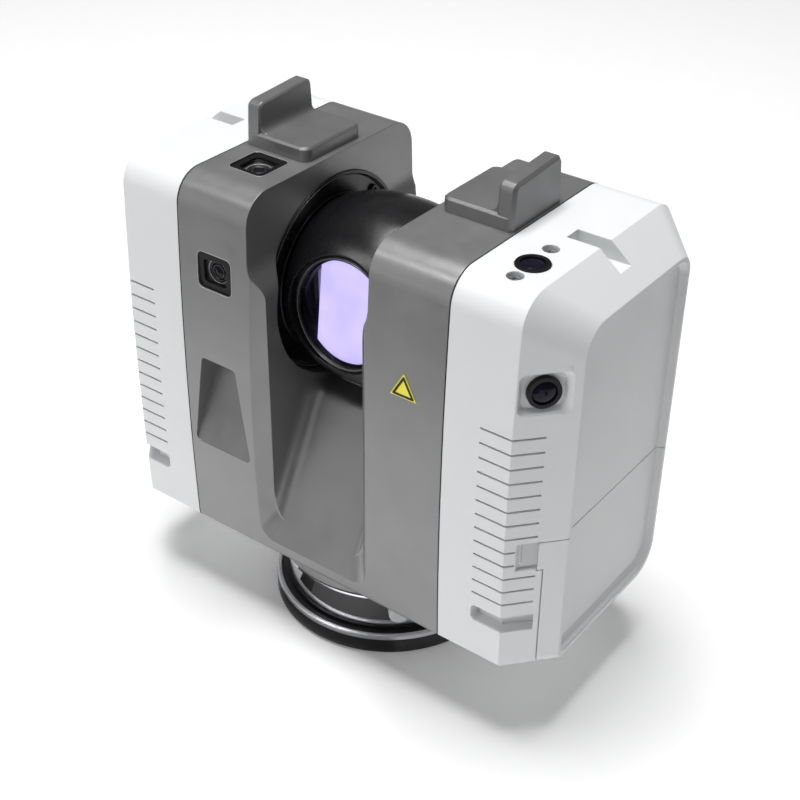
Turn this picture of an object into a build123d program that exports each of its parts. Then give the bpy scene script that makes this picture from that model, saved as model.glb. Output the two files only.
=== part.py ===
from build123d import *

import os
from math import asin, cos, radians, sin

# Terrestrial laser scanner, millimetres. +Z is up, X runs across the two pillars, -Y is the
# front. The origin is on the vertical turning axis, at the underside of the base plate.

os.makedirs("parts", exist_ok=True)

# ---- driving dimensions -------------------------------------------------------------------
deck = 43.0                 # underside of the turning head
head_height = 179.0         # head without the fin blocks
head_top = deck + head_height
half_depth = 60.0           # deepest point of the crowned front and back
crown_height = 68.0         # height of that deepest point above the deck
foot_y = 58.7               # half depth at the underside
brow_y = 56.6               # half depth at the top
top_radius = 14.0
foot_radius = 2.0

seam_x = 70.5               # outer side of the grey pillars
gasket_t = 0.6
cover_x = seam_x + gasket_t
crease_x = 103.0            # where the slanted edge of a side cover begins
rim_x = 121.0               # outermost rim of a side cover
rim_front = -39.5
rim_back = 43.0
rim_top = deck + 164.5
panel_drop = 3.0            # inset of the side panel behind its rim
wall = 2.5

mouth_half = 32.0           # half width of the opening at its front edge and top
neck_half = 26.0            # half width between the lower walls
neck_top = deck + 132.0     # where the walls start to flare
flare_top = deck + 151.0
hill_half = 25.0            # half length of the flat below the rotor
hill_top = deck + 74.4
sill = deck + 5.2           # bottom of the opening at the front face
web_x = 38.0                # inner side of the pillar cavities

axis_z = deck + 122.4       # turning axis of the mirror rotor
flange_bore = 47.0
rotor_belly = 43.7          # largest radius of the barrel
rotor_half = 32.0
window_off = 34.0           # window plane from the turning axis
window_tilt = 6.5           # the window looks slightly upwards at rest
shaft_r = 8.0

fit = 0.06                  # radial clearance of a running fit
door_seam_x = 114.4
door_top = deck + 66.8
door_hinge_x = 117.4
door_hinge_z = deck + 3.0
door_round = 3.0

# ---- shared forms ---------------------------------------------------------------------------


def head_sketch(inset=0.0):
    """Side outline of the head in (Y, Z), with crowned front and back."""
    with BuildSketch() as outline:
        with BuildLine():
            front = ThreePointArc(
                (-foot_y + inset, deck + inset),
                (-half_depth + inset, deck + crown_height),
                (-brow_y + inset, head_top - inset),
            )
            back = ThreePointArc(
                (foot_y - inset, deck + inset),
                (half_depth - inset, deck + crown_height),
                (brow_y - inset, head_top - inset),
            )
            Line(front @ 0, back @ 0)
            Line(front @ 1, back @ 1)
        make_face()
        corners = outline.vertices().sort_by(Axis.Y)
        fillet(corners[-2:], radius=top_radius - inset)
        fillet(outline.vertices().sort_by(Axis.Y)[:2], radius=max(foot_radius - inset, 0.6))
    return outline.sketch


def rim_sketch(front, back, top, bottom, shrink=0.0):
    """Outline of a side cover's outer rim in (Y, Z)."""
    with BuildSketch() as outline:
        with BuildLine():
            Polyline(
                (front, bottom), (back, bottom), (back, top), (front, top), close=True
            )
        make_face()
        rounds = (
            (front, top, 13.0 - shrink),
            (back, top, 9.0 - shrink),
            (back, bottom, 14.0 - shrink),
            (front, bottom, 4.0 - 0.3 * shrink),
        )
        for y, z, radius in rounds:
            fillet(outline.vertices().sort_by_distance((y, z, 0))[0], radius=radius)
    return outline.sketch


def head_slab(x_from, x_to, inset=0.0):
    """The head's outline carried from one X plane to another."""
    with BuildPart() as slab:
        with BuildSketch(Plane.YZ.offset(x_from)):
            add(head_sketch(inset))
        extrude(amount=x_to - x_from)
    return slab.part


def cover_form(side, inset=0.0):
    """A side cover's volume: straight to the crease, then slanted in to the rim."""
    crease = crease_x - 0.42 * inset
    rim = rim_x if inset == 0.0 else rim_x - panel_drop - inset
    run = rim_x - rim
    lean_front = (half_depth + rim_front) / (rim_x - crease_x)
    lean_back = (half_depth - rim_back) / (rim_x - crease_x)
    lean_top = (head_top - rim_top) / (rim_x - crease_x)
    with BuildPart() as form:
        add(head_slab(side * cover_x, side * crease, inset))
        with BuildSketch(Plane.YZ.offset(side * crease)):
            add(head_sketch(inset))
        with BuildSketch(Plane.YZ.offset(side * rim)):
            add(
                rim_sketch(
                    rim_front - run * lean_front + 1.45 * inset,
                    rim_back + run * lean_back - 1.45 * inset,
                    rim_top + run * lean_top - 1.3 * inset,
                    deck + inset,
                    inset,
                )
            )
        loft(ruled=True)
    return form.part


def door_zone(gap=0.0):
    """The part of the right cover that belongs to the battery door."""
    low = door_hinge_z
    with BuildPart() as zone:
        with BuildSketch(Plane.XZ):
            with BuildLine():
                Polyline(
                    (door_seam_x - gap, low),
                    (door_seam_x - gap, door_top + gap),
                    (rim_x + 6, door_top + gap),
                    (rim_x + 6, deck - 6),
                    (door_hinge_x, deck - 6),
                    (door_hinge_x, low),
                    close=True,
                )
            make_face()
            with Locations((door_hinge_x, low)):
                Circle(door_round + gap)
        extrude(amount=half_depth + 8, both=True)
        with Locations((117, -half_depth + 12, door_top - 7)):
            Box(8.8 + 2 * gap, 24, 14 + 2 * gap)
    return zone.part


def ring(inner, outer, low, high):
    """A plain ring on the vertical axis."""
    with BuildPart() as hoop:
        with BuildSketch(Plane.XY.offset(low)):
            Circle(outer)
            Circle(inner, mode=Mode.SUBTRACT)
        extrude(amount=high - low)
    return hoop.part


def tube_x(inner, outer, x_from, x_to, y=0.0, z=axis_z):
    """A ring or disc on an axis that runs along X."""
    with BuildPart() as hoop:
        with BuildSketch(Plane(origin=(x_from, y, z), x_dir=(0, 1, 0), z_dir=(1, 0, 0))):
            Circle(outer)
            if inner > 0:
                Circle(inner, mode=Mode.SUBTRACT)
        extrude(amount=x_to - x_from)
    return hoop.part


def tube_on(plane, inner, outer, length):
    """A ring or disc that stands on a given plane."""
    with BuildPart() as hoop:
        with BuildSketch(plane):
            Circle(outer)
            if inner > 0:
                Circle(inner, mode=Mode.SUBTRACT)
        extrude(amount=length)
    return hoop.part


def block(x_from, x_to, y_from, y_to, z_from, z_to):
    """A plain block between two corners."""
    with BuildPart() as body:
        with Locations(((x_from + x_to) / 2, (y_from + y_to) / 2, (z_from + z_to) / 2)):
            Box(abs(x_to - x_from), abs(y_to - y_from), abs(z_to - z_from))
    return body.part


def race(inner, outer, half_width, pitch, ball):
    """A bearing race about Z, centred on the origin, with its ball groove."""
    with BuildPart() as hoop:
        add(ring(inner, outer, -half_width, half_width))
        with BuildSketch(Plane.XZ):
            with Locations((pitch, 0)):
                Circle(ball + 0.1)
        revolve(axis=Axis.Z, mode=Mode.SUBTRACT)
    return hoop.part


def balls(pitch, ball, count):
    """The balls of a bearing about Z, as separate solids."""
    with BuildPart() as row:
        with PolarLocations(pitch, count):
            Sphere(ball)
    return row.part


def screw(plane, head_r=2.6, head_t=1.6, shank_r=1.5, length=6.0):
    """A round-headed screw with a hex socket; the plane lies under its head."""
    with BuildPart() as fastener:
        add(tube_on(plane, 0, head_r, head_t))
        add(tube_on(plane, 0, shank_r, -length))
        with BuildSketch(plane.offset(head_t)):
            RegularPolygon(radius=1.35, side_count=6)
        extrude(amount=-1.0, mode=Mode.SUBTRACT)
    return fastener.part


def slant_plane(side, x, z):
    """A plane on the front slant of a side cover at a given x, its Z out of the surface."""
    lean = (half_depth + rim_front) / (rim_x - crease_x)
    y = -half_depth + (x - crease_x) * lean
    return Plane(origin=(side * x, y, z), x_dir=(0, 0, 1), z_dir=(side * lean, -1, 0))


def mirrored(shape, side):
    """The shape itself on the right side, its mirror image on the left."""
    return shape if side > 0 else mirror(shape, about=Plane.YZ, mode=Mode.PRIVATE)


# ---- base: everything that stands still on the tripod ---------------------------------------
plate_r = 56.0
land_top = 12.0             # top of the base plate, under the drum
drum_r = 50.2
drum_top = 33.0
thread_r = 7.94             # 5/8 inch tripod thread
spindle_r = 21.0

with BuildPart() as base_plate:
    with BuildSketch():
        Circle(plate_r)
    extrude(amount=9.0)
    chamfer(base_plate.faces().sort_by(Axis.Z)[0].edges(), length=1.5)
    with BuildSketch(Plane.XY.offset(9.0)):
        Circle(53.4)
    extrude(amount=1.4)
    with BuildSketch(Plane.XY.offset(10.4)):
        Circle(48.5)
    extrude(amount=land_top - 10.4)
    with BuildSketch(Plane.XY.offset(8.0)):
        Circle(24.0)
    extrude(amount=land_top - 8.0, mode=Mode.SUBTRACT)
    with BuildSketch():
        Circle(13.0)
    extrude(amount=8.0, mode=Mode.SUBTRACT)
base_plate.part.label = "base_plate"
export_step(base_plate.part, "parts/base_plate.step")

with BuildPart() as rim_ring:
    add(ring(53.6, 55.9, 9.0, 11.6))
    fillet(rim_ring.edges().group_by(Axis.Z)[-1], radius=0.9)
rim_ring.part.label = "rim_ring"
export_step(rim_ring.part, "parts/rim_ring.step")

with BuildPart() as thread_insert:
    add(ring(thread_r, 13.0, 0.0, 7.6))
    chamfer(
        thread_insert.faces().sort_by(Axis.Z)[0].edges().sort_by(SortBy.LENGTH)[0],
        length=0.6,
    )
thread_insert.part.label = "thread_insert"
export_step(thread_insert.part, "parts/thread_insert.step")

button_angle = -47.8
button_z = 22.4
button_plane = Plane(
    origin=(47.0 * cos(radians(button_angle)), 47.0 * sin(radians(button_angle)), button_z),
    z_dir=(cos(radians(button_angle)), sin(radians(button_angle)), 0),
)

with BuildPart() as base_drum:
    add(ring(spindle_r + 1.2, drum_r, land_top, 15.0))
    add(ring(drum_r - 2.6, drum_r, 15.0, drum_top))
    add(ring(drum_r - 2.6, 53.4, drum_top - 1.2, drum_top))
    add(ring(33.0, 35.6, 15.0, 27.0))
    add(ring(24.5, 33.0, 15.0, 17.4))
    add(tube_on(button_plane.offset(-1), 0, 5.1, 12.0), mode=Mode.SUBTRACT)
base_drum.part.label = "base_drum"
export_step(base_drum.part, "parts/base_drum.step")

with BuildPart() as release_button:
    with BuildSketch(button_plane.offset(1.4)):
        Circle(4.8)
    extrude(amount=5.6)
    fillet(release_button.faces().sort_by(Axis.X)[-1].edges(), radius=1.0)
release_button.part.label = "release_button"
export_step(release_button.part, "parts/release_button.step")

azimuth_bearing_z = 21.8
azimuth_pitch = 27.0

with BuildPart() as azimuth_bearing_outer:
    with Locations((0, 0, azimuth_bearing_z)):
        add(race(29.4, 33.0, 4.2, azimuth_pitch, 2.6))
azimuth_bearing_outer.part.label = "azimuth_bearing_outer"
export_step(azimuth_bearing_outer.part, "parts/azimuth_bearing_outer.step")

with BuildPart() as azimuth_bearing_balls:
    with Locations((0, 0, azimuth_bearing_z)):
        add(balls(azimuth_pitch, 2.6, 18))
azimuth_bearing_balls.part.label = "azimuth_bearing_balls"
export_step(azimuth_bearing_balls.part, "parts/azimuth_bearing_balls.step")

with BuildPart() as azimuth_motor_stator:
    add(ring(44.0, 45.6, 15.0, 27.0))
    with Locations((0, 0, 17.0)):
        with PolarLocations(42.7, 24):
            Box(3.4, 5.0, 9.0, align=(Align.CENTER, Align.CENTER, Align.MIN))
azimuth_motor_stator.part.label = "azimuth_motor_stator"
export_step(azimuth_motor_stator.part, "parts/azimuth_motor_stator.step")

# ---- turning head: swivel pieces -------------------------------------------------------------
with BuildPart() as swivel_skirt:
    add(ring(30.0, 54.4, 39.0, deck))
    add(ring(51.0, 54.4, 34.2, 39.0))
    fillet(swivel_skirt.edges().group_by(Axis.Z)[0].sort_by(SortBy.LENGTH)[-1], radius=0.8)
    with PolarLocations(33.5, 4, start_angle=45):
        with Locations((0, 0, 39.0)):
            Cylinder(
                1.8, 4.0, align=(Align.CENTER, Align.CENTER, Align.MIN), mode=Mode.SUBTRACT
            )
swivel_skirt.part.label = "swivel_skirt"
export_step(swivel_skirt.part, "parts/swivel_skirt.step")

with BuildPart() as azimuth_spindle:
    add(ring(12.0, spindle_r, 12.2, deck))
    add(ring(spindle_r, 29.6, 37.0, deck))
azimuth_spindle.part.label = "azimuth_spindle"
export_step(azimuth_spindle.part, "parts/azimuth_spindle.step")

with BuildPart() as azimuth_bearing_inner:
    with Locations((0, 0, azimuth_bearing_z)):
        add(race(spindle_r, 24.6, 4.2, azimuth_pitch, 2.6))
azimuth_bearing_inner.part.label = "azimuth_bearing_inner"
export_step(azimuth_bearing_inner.part, "parts/azimuth_bearing_inner.step")

with BuildPart() as azimuth_magnet_ring:
    add(ring(37.4, 40.2, 17.0, 39.0))
azimuth_magnet_ring.part.label = "azimuth_magnet_ring"
export_step(azimuth_magnet_ring.part, "parts/azimuth_magnet_ring.step")

with BuildPart() as skirt_screws:
    for angle in (45, 135, 225, 315):
        spot = Plane(
            origin=(33.5 * cos(radians(angle)), 33.5 * sin(radians(angle)), 39.0),
            z_dir=(0, 0, -1),
        )
        add(screw(spot, length=8.0))
skirt_screws.part.label = "skirt_screws"
export_step(skirt_screws.part, "parts/skirt_screws.step")

# ---- turning head: yoke ----------------------------------------------------------------------
camera_x = -50.6
front_window_z = deck + 139.4
top_window_y = -26.9
window_size = 19.6
window_deep = 1.6
niche_low = deck + 47.0     # tapered recess of the downward camera
niche_high = deck + 95.0
niche_deep = 15.0


def mouth_section():
    """Opening between the pillars in (X, Z): narrow below, flared above."""
    with BuildSketch() as section:
        with BuildLine():
            for side in (-1, 1):
                low = (side * neck_half, deck - 8)
                knee = (side * neck_half, neck_top)
                brow = (side * mouth_half, flare_top)
                Line(low, knee)
                Spline(knee, brow, tangents=((0, 1), (0, 1)))
                Line(brow, (side * mouth_half, head_top + 30))
            Line((-neck_half, deck - 8), (neck_half, deck - 8))
            Line((-mouth_half, head_top + 30), (mouth_half, head_top + 30))
        make_face()
    return section.sketch


def funnel(side):
    """The sloped lead-in of the opening at the front (-1) or the back (+1)."""
    rise = (hill_top - sill + 16.6) / (half_depth + 8 - hill_half)
    stations = (
        (half_depth + 0.6, mouth_half + 0.4, sill - 16.6 + 7.4 * rise, 9.0),
        (half_depth - 6.2, neck_half - 0.2, sill - 16.6 + 14.2 * rise, 7.0),
    )
    with BuildPart() as lead_in:
        for y, half, low, corner in stations:
            with BuildSketch(Plane.XZ.offset(-side * y)) as section:
                with Locations((0, (low + head_top + 20) / 2)):
                    Rectangle(2 * half, head_top + 20 - low)
                fillet(section.vertices().sort_by(Axis.Y)[:2], radius=corner)
        loft(ruled=True)
    return lead_in.part


def mouth():
    """The space between the pillars, above a hill with a ramp to the front and the back."""
    with BuildPart() as through:
        with BuildSketch(Plane.XZ):
            add(mouth_section())
        extrude(amount=half_depth + 8, both=True)
        with BuildSketch(Plane.YZ):
            with BuildLine():
                Polyline(
                    (-half_depth - 8, sill - 16.6),
                    (-hill_half, hill_top),
                    (hill_half, hill_top),
                    (half_depth + 8, sill - 16.6),
                    (half_depth + 8, head_top + 60),
                    (-half_depth - 8, head_top + 60),
                    close=True,
                )
            make_face()
        extrude(amount=60, both=True, mode=Mode.INTERSECT)
        ridges = through.edges().filter_by(
            lambda e: abs(e.center().Z - hill_top) < 0.1 and abs(abs(e.center().Y) - hill_half) < 0.1
        )
        fillet(ridges, radius=6.0)
        ramps = through.faces().filter_by(lambda f: 0.2 < abs(f.normal_at().Y) < 0.99 and f.area > 500)
        fillet(ramps.edges().filter_by(lambda e: abs(e.center().X) > neck_half - 0.5), radius=7.0)
    return through.part


def niche(grow=0.0):
    """Tapered recess of the downward camera, deepest at its ceiling."""
    with BuildPart() as recess:
        with BuildSketch(Plane.XZ) as front_view:
            with BuildLine():
                Polyline(
                    (-68.0 - grow, niche_low - grow),
                    (-34.2 + grow, niche_low - grow),
                    (-41.0 + grow, niche_high + grow),
                    (-60.6 - grow, niche_high + grow),
                    close=True,
                )
            make_face()
            fillet(front_view.vertices(), radius=3.0)
        extrude(amount=half_depth + 6, both=True)
        with BuildSketch(Plane.YZ.offset(camera_x - 25)):
            with BuildLine():
                Polyline(
                    (-half_depth - 4, niche_low - grow),
                    (-half_depth + 0.4, niche_low - grow),
                    (-half_depth + niche_deep + grow, niche_high - 2 + grow),
                    (-half_depth - 4, niche_high + grow),
                    close=True,
                )
            make_face()
        extrude(amount=50, mode=Mode.INTERSECT)
    return recess.part


def square_well(plane, width, height, depth, corner=3.0):
    """A rounded square volume from above a plane down to a depth below it."""
    with BuildPart() as well:
        with BuildSketch(plane.offset(-depth)):
            RectangleRounded(width, height, corner)
        extrude(amount=depth + 4)
    return well.part


front_window_plane = Plane(origin=(camera_x, -58.6, front_window_z), x_dir=(1, 0, 0), z_dir=(0, -1, 0))
top_window_plane = Plane(origin=(camera_x - 0.6, top_window_y, head_top))
down_camera_plane = Plane(origin=(camera_x, -51.5, niche_high - 0.4), z_dir=(0, 0, -1))
yoke_wall = 3.2
ledge_x = 36.0              # seat of the bearing flange in the wall of a pillar
rim_screw_r = 41.5
rim_screw_angles = (45, 135, 225, 315)
rear_camera_plane = Plane(
    origin=(51.0, 57.2, deck + 139.0), x_dir=(1, 0, 0), z_dir=(0, 1, 0)
)


def flange_spot(side, radius, angle, x):
    """A plane on a flange at a polar position round the elevation axis, facing the rotor."""
    return Plane(
        origin=(
            side * x,
            radius * cos(radians(angle)),
            axis_z + radius * sin(radians(angle)),
        ),
        x_dir=(0, 1, 0),
        z_dir=(-side, 0, 0),
    )


with BuildPart() as yoke:
    add(head_slab(-seam_x, seam_x))
    for side in (-1, 1):
        add(head_slab(side * web_x, side * (seam_x + 1), yoke_wall), mode=Mode.SUBTRACT)
    with BuildSketch(Plane.YZ.offset(-web_x - 1)):
        with BuildLine():
            Polyline(
                (-54.0, deck + yoke_wall),
                (-54.0, deck + 8.0),
                (-22.3, hill_top - 4.0),
                (22.3, hill_top - 4.0),
                (54.0, deck + 8.0),
                (54.0, deck + yoke_wall),
                close=True,
            )
        make_face()
    extrude(amount=2 * web_x + 2, mode=Mode.SUBTRACT)
    add(niche(2.4) & head_slab(-seam_x, -web_x, 0.5))
    add(mouth(), mode=Mode.SUBTRACT)
    add(funnel(-1), mode=Mode.SUBTRACT)
    add(funnel(1), mode=Mode.SUBTRACT)
    add(tube_x(0, flange_bore, -ledge_x, ledge_x), mode=Mode.SUBTRACT)
    for side in (-1, 1):
        add(tube_x(0, 36.0, side * (ledge_x - 1), side * (web_x + 1)), mode=Mode.SUBTRACT)
        for angle in rim_screw_angles:
            spot = flange_spot(side, rim_screw_r, angle, ledge_x - 0.5)
            add(tube_on(spot, 0, 1.5, -3.5), mode=Mode.SUBTRACT)
    for angle in (45, 135, 225, 315):
        with Locations((33.5 * cos(radians(angle)), 33.5 * sin(radians(angle)), deck)):
            Cylinder(1.5, 9.0, mode=Mode.SUBTRACT)
    add(niche(), mode=Mode.SUBTRACT)
    add(square_well(front_window_plane, window_size, 17.8, window_deep), mode=Mode.SUBTRACT)
    add(tube_on(front_window_plane, 0, 8.4, -12), mode=Mode.SUBTRACT)
    add(square_well(top_window_plane, window_size, window_size, window_deep), mode=Mode.SUBTRACT)
    add(tube_on(top_window_plane, 0, 8.4, -12), mode=Mode.SUBTRACT)
    add(tube_on(down_camera_plane.offset(-12), 0, 5.0, 14), mode=Mode.SUBTRACT)
    add(tube_on(rear_camera_plane, 0, 7.3, 6), mode=Mode.SUBTRACT)
    with Locations((0, 0, deck)):
        Cylinder(12.0, 12.0, mode=Mode.SUBTRACT)
yoke.part.label = "yoke"
export_step(yoke.part, "parts/yoke.step")


def upright_fin(inner_x, outer_x, front, back, low, top):
    """The upright fin of a fin block, with bevelled edges."""
    with BuildPart() as fin:
        with BuildSketch(Plane.YZ.offset(inner_x)) as side_view:
            with BuildLine():
                Polyline(
                    (front, low), (front + 1.2, top - 2.0), (back - 1.6, top), (back, low), close=True
                )
            make_face()
            fillet(side_view.vertices().group_by(Axis.Y)[-1], radius=3.5)
            fillet(side_view.vertices().group_by(Axis.Y)[-2], radius=3.5)
        extrude(amount=outer_x - inner_x)
        rim = fin.edges().filter_by(lambda e: e.center().Z > low + 1.0)
        chamfer(rim.filter_by(lambda e: abs(e.center().X - outer_x) < 0.1), length=1.4)
        rim = fin.edges().filter_by(lambda e: e.center().Z > low + 8.0)
        chamfer(rim.filter_by(lambda e: abs(e.center().X - inner_x) < 0.1), length=0.9)
    return fin.part


def fin_block(side):
    """Finned block on top of a pillar: a low plate with an upright fin on its outer side."""
    inner, outer = side * 35.2, side * 69.6
    fin_in = side * 61.6
    front, back = -14.4, 24.0
    plate_t = 6.4
    with BuildPart() as cap:
        with BuildSketch(Plane.XY.offset(head_top)):
            with Locations(((inner + outer) / 2, (front + back) / 2)):
                RectangleRounded(abs(outer - inner), back - front, 4.0)
        extrude(amount=plate_t)
        chamfer(cap.faces().sort_by(Axis.Z)[-1].edges(), length=1.0)
        root = head_top + plate_t
        add(upright_fin(fin_in, outer, front + 0.1, back - 1.1, head_top, head_top + 21.8))
        with BuildSketch(Plane.XZ.offset(-back + 3.0)):
            with BuildLine():
                Line((fin_in, root - 0.1), (fin_in, root + 4.0))
                ThreePointArc(
                    (fin_in, root + 4.0), (fin_in - side * 1.17, root + 1.17), (fin_in - side * 4.0, root)
                )
                Polyline(
                    (fin_in - side * 4.0, root), (fin_in - side * 4.0, root - 0.1), (fin_in, root - 0.1)
                )
            make_face()
        extrude(amount=back - front - 4.5)
    return cap.part


with BuildPart() as fin_blocks:
    for side in (-1, 1):
        add(fin_block(side))
fin_blocks.part.label = "fin_blocks"
export_step(fin_blocks.part, "parts/fin_blocks.step")


def gasket(side):
    """Thin dark seal in the seam between a pillar and its side cover."""
    with BuildPart() as seal:
        with BuildSketch(Plane.YZ.offset(side * seam_x)):
            add(head_sketch(0.35))
            add(head_sketch(3.0), mode=Mode.SUBTRACT)
        extrude(amount=side * gasket_t)
    return seal.part


with BuildPart() as gaskets:
    for side in (-1, 1):
        add(gasket(side))
gaskets.part.label = "gaskets"
export_step(gaskets.part, "parts/gaskets.step")

# ---- turning head: picture cameras and warning plate -----------------------------------------
with BuildPart() as camera_windows:
    for plane, height in ((front_window_plane, 17.2), (top_window_plane, 19.0)):
        with BuildSketch(plane.offset(-window_deep)):
            RectangleRounded(19.0, height, 2.8)
            RectangleRounded(12.6, height - 6.2, 1.6, mode=Mode.SUBTRACT)
        extrude(amount=1.0)
camera_windows.part.label = "camera_windows"
export_step(camera_windows.part, "parts/camera_windows.step")


def lens_barrel(plane, outer, inner, length, lift):
    """A camera barrel that reaches inwards from a window plane."""
    return tube_on(plane.offset(lift), inner, outer, -length)


def lens_dome(plane, radius, rise, depth):
    """A lens: a short cylinder with a shallow spherical front."""
    sphere_r = (radius * radius + rise * rise) / (2 * rise)
    half_turn = asin(radius / sphere_r) / 2
    middle = (sphere_r * sin(half_turn), rise - sphere_r + sphere_r * cos(half_turn))
    with BuildPart() as lens:
        with BuildSketch(Plane.XZ):
            with BuildLine():
                Polyline((0, rise), (0, -depth), (radius, -depth), (radius, 0))
                ThreePointArc((radius, 0), middle, (0, rise))
            make_face()
        revolve(axis=Axis.Z)
    return plane.location * lens.part


with BuildPart() as camera_barrels:
    add(lens_barrel(front_window_plane, 8.36, 5.0, 9.0, -2.8))
    add(lens_barrel(top_window_plane, 8.36, 5.0, 9.0, -2.8))
    add(lens_barrel(down_camera_plane, 4.95, 3.4, 11.0, -0.6))
camera_barrels.part.label = "camera_barrels"
export_step(camera_barrels.part, "parts/camera_barrels.step")

with BuildPart() as camera_lenses:
    add(lens_dome(front_window_plane.offset(-3.8), 5.0, 1.1, 3.0))
    add(lens_dome(top_window_plane.offset(-3.8), 5.0, 1.1, 3.0))
    add(lens_dome(down_camera_plane.offset(-2.0), 3.4, 0.8, 3.0))
camera_lenses.part.label = "camera_lenses"
export_step(camera_lenses.part, "parts/camera_lenses.step")

warning_x, warning_z, warning_side = 51.0, deck + 122.6, 13.0

with BuildPart() as warning_plate:
    add(head_slab(warning_x - 9, warning_x + 9, -0.3))
    add(head_slab(warning_x - 10, warning_x + 10), mode=Mode.SUBTRACT)
    with BuildSketch(Plane.XZ.offset(half_depth - 6)):
        with Locations((warning_x, warning_z - 1.0)):
            RegularPolygon(radius=warning_side * 0.577, side_count=3, rotation=90)
    extrude(amount=8, mode=Mode.INTERSECT)
warning_plate.part.label = "warning_plate"
export_step(warning_plate.part, "parts/warning_plate.step")

# ---- turning head: bearings of the elevation axis --------------------------------------------
hub_screw_r = 25.0
hub_screw_angles = (135.6, 255.6, 15.6)
bearing_x = 42.0            # middle of each elevation bearing
elevation_pitch = 12.2
elevation_ball = 1.8


def bearing_flange(side):
    """Cup in the wall of a pillar: bevelled sleeve, floor and bearing hub."""
    with BuildPart() as cup:
        add(tube_x(44.6, 46.94, side * 31.4, side * 33.5))
        chamfer(
            cup.faces().sort_by(Axis.X)[-1 if side < 0 else 0].edges().sort_by(SortBy.LENGTH)[0],
            length=1.1,
        )
        add(tube_x(9.5, 46.94, side * 33.4, side * ledge_x))
        add(tube_x(34.8, 36.2, side * 33.0, side * 33.5))
        add(tube_x(15.0, 29.0, side * ledge_x, side * 39.0))
        add(tube_x(16.5, 20.0, side * 39.0, side * 46.0))
        for angle in rim_screw_angles:
            add(tube_on(flange_spot(side, rim_screw_r, angle, 33.4), 0, 1.5, -4), mode=Mode.SUBTRACT)
        for angle in hub_screw_angles:
            well = flange_spot(side, hub_screw_r, angle, 34.8)
            add(tube_on(well, 0, 3.2, 3), mode=Mode.SUBTRACT)
            add(tube_on(well, 0, 1.5, -5), mode=Mode.SUBTRACT)
    return cup.part


with BuildPart() as bearing_flanges:
    for side in (-1, 1):
        add(bearing_flange(side))
bearing_flanges.part.label = "bearing_flanges"
export_step(bearing_flanges.part, "parts/bearing_flanges.step")

with BuildPart() as flange_screws:
    for side in (-1, 1):
        for angle in rim_screw_angles:
            spot = flange_spot(side, rim_screw_r, angle, 33.4)
            add(screw(spot, head_r=2.3, head_t=1.4, length=4.4))
        for angle in hub_screw_angles:
            spot = flange_spot(side, hub_screw_r, angle, 34.8)
            add(screw(spot, head_r=2.4, head_t=1.0, length=4.0))
flange_screws.part.label = "flange_screws"
export_step(flange_screws.part, "parts/flange_screws.step")


def on_elevation(shape, x):
    """A shape built about Z, laid over so that it turns about the elevation axis."""
    return Plane(origin=(x, 0, axis_z), x_dir=(0, 1, 0), z_dir=(1, 0, 0)).location * shape


with BuildPart() as elevation_outer_races:
    for side in (-1, 1):
        add(on_elevation(race(13.9, 16.5, 3.0, elevation_pitch, elevation_ball), side * bearing_x))
elevation_outer_races.part.label = "elevation_outer_races"
export_step(elevation_outer_races.part, "parts/elevation_outer_races.step")

with BuildPart() as elevation_inner_races:
    for side in (-1, 1):
        add(on_elevation(race(shaft_r, 10.5, 3.0, elevation_pitch, elevation_ball), side * bearing_x))
elevation_inner_races.part.label = "elevation_inner_races"
export_step(elevation_inner_races.part, "parts/elevation_inner_races.step")

with BuildPart() as elevation_balls:
    for side in (-1, 1):
        add(on_elevation(balls(elevation_pitch, elevation_ball, 14), side * bearing_x))
elevation_balls.part.label = "elevation_balls"
export_step(elevation_balls.part, "parts/elevation_balls.step")

# ---- turning head: elevation drive on the left, laser on the right ----------------------------
with BuildPart() as motor_housing:
    add(tube_x(20.0, 28.6, -46.0, -43.0))
    add(tube_x(26.0, 28.6, -64.0, -46.0))
motor_housing.part.label = "motor_housing"
export_step(motor_housing.part, "parts/motor_housing.step")

with BuildPart() as motor_stator:
    add(tube_x(23.0, 26.0, -62.0, -50.0))
    with Locations((-56.0, 0, axis_z)):
        with Locations(Rotation(0, 90, 0)):
            with PolarLocations(20.0, 9):
                Box(7.0, 5.6, 11.0)
motor_stator.part.label = "motor_stator"
export_step(motor_stator.part, "parts/motor_stator.step")

with BuildPart() as motor_magnets:
    add(tube_x(shaft_r, 15.4, -62.0, -50.0))
motor_magnets.part.label = "motor_magnets"
export_step(motor_magnets.part, "parts/motor_magnets.step")

with BuildPart() as encoder_disc:
    add(tube_x(shaft_r, 20.0, -67.0, -66.0))
encoder_disc.part.label = "encoder_disc"
export_step(encoder_disc.part, "parts/encoder_disc.step")

with BuildPart() as encoder_reader:
    add(block(-69.4, -64.0, -5.0, 5.0, axis_z + 13.0, axis_z + 28.0))
    add(block(-68.0, -65.0, -6.0, 6.0, axis_z + 12.0, axis_z + 21.5), mode=Mode.SUBTRACT)
encoder_reader.part.label = "encoder_reader"
export_step(encoder_reader.part, "parts/encoder_reader.step")

with BuildPart() as laser_module:
    add(tube_x(12.0, 20.0, 46.0, 50.0))
    add(tube_x(6.0, 20.0, 50.0, 53.0))
    add(tube_x(0, 20.0, 53.0, 69.4))
    for x in (56.0, 60.0, 64.0):
        add(tube_x(18.0, 21.0, x, x + 1.6), mode=Mode.SUBTRACT)
laser_module.part.label = "laser_module"
export_step(laser_module.part, "parts/laser_module.step")

with BuildPart() as collimator_lens:
    add(tube_x(0, 6.0, 50.6, 52.6))
collimator_lens.part.label = "collimator_lens"
export_step(collimator_lens.part, "parts/collimator_lens.step")

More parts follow.
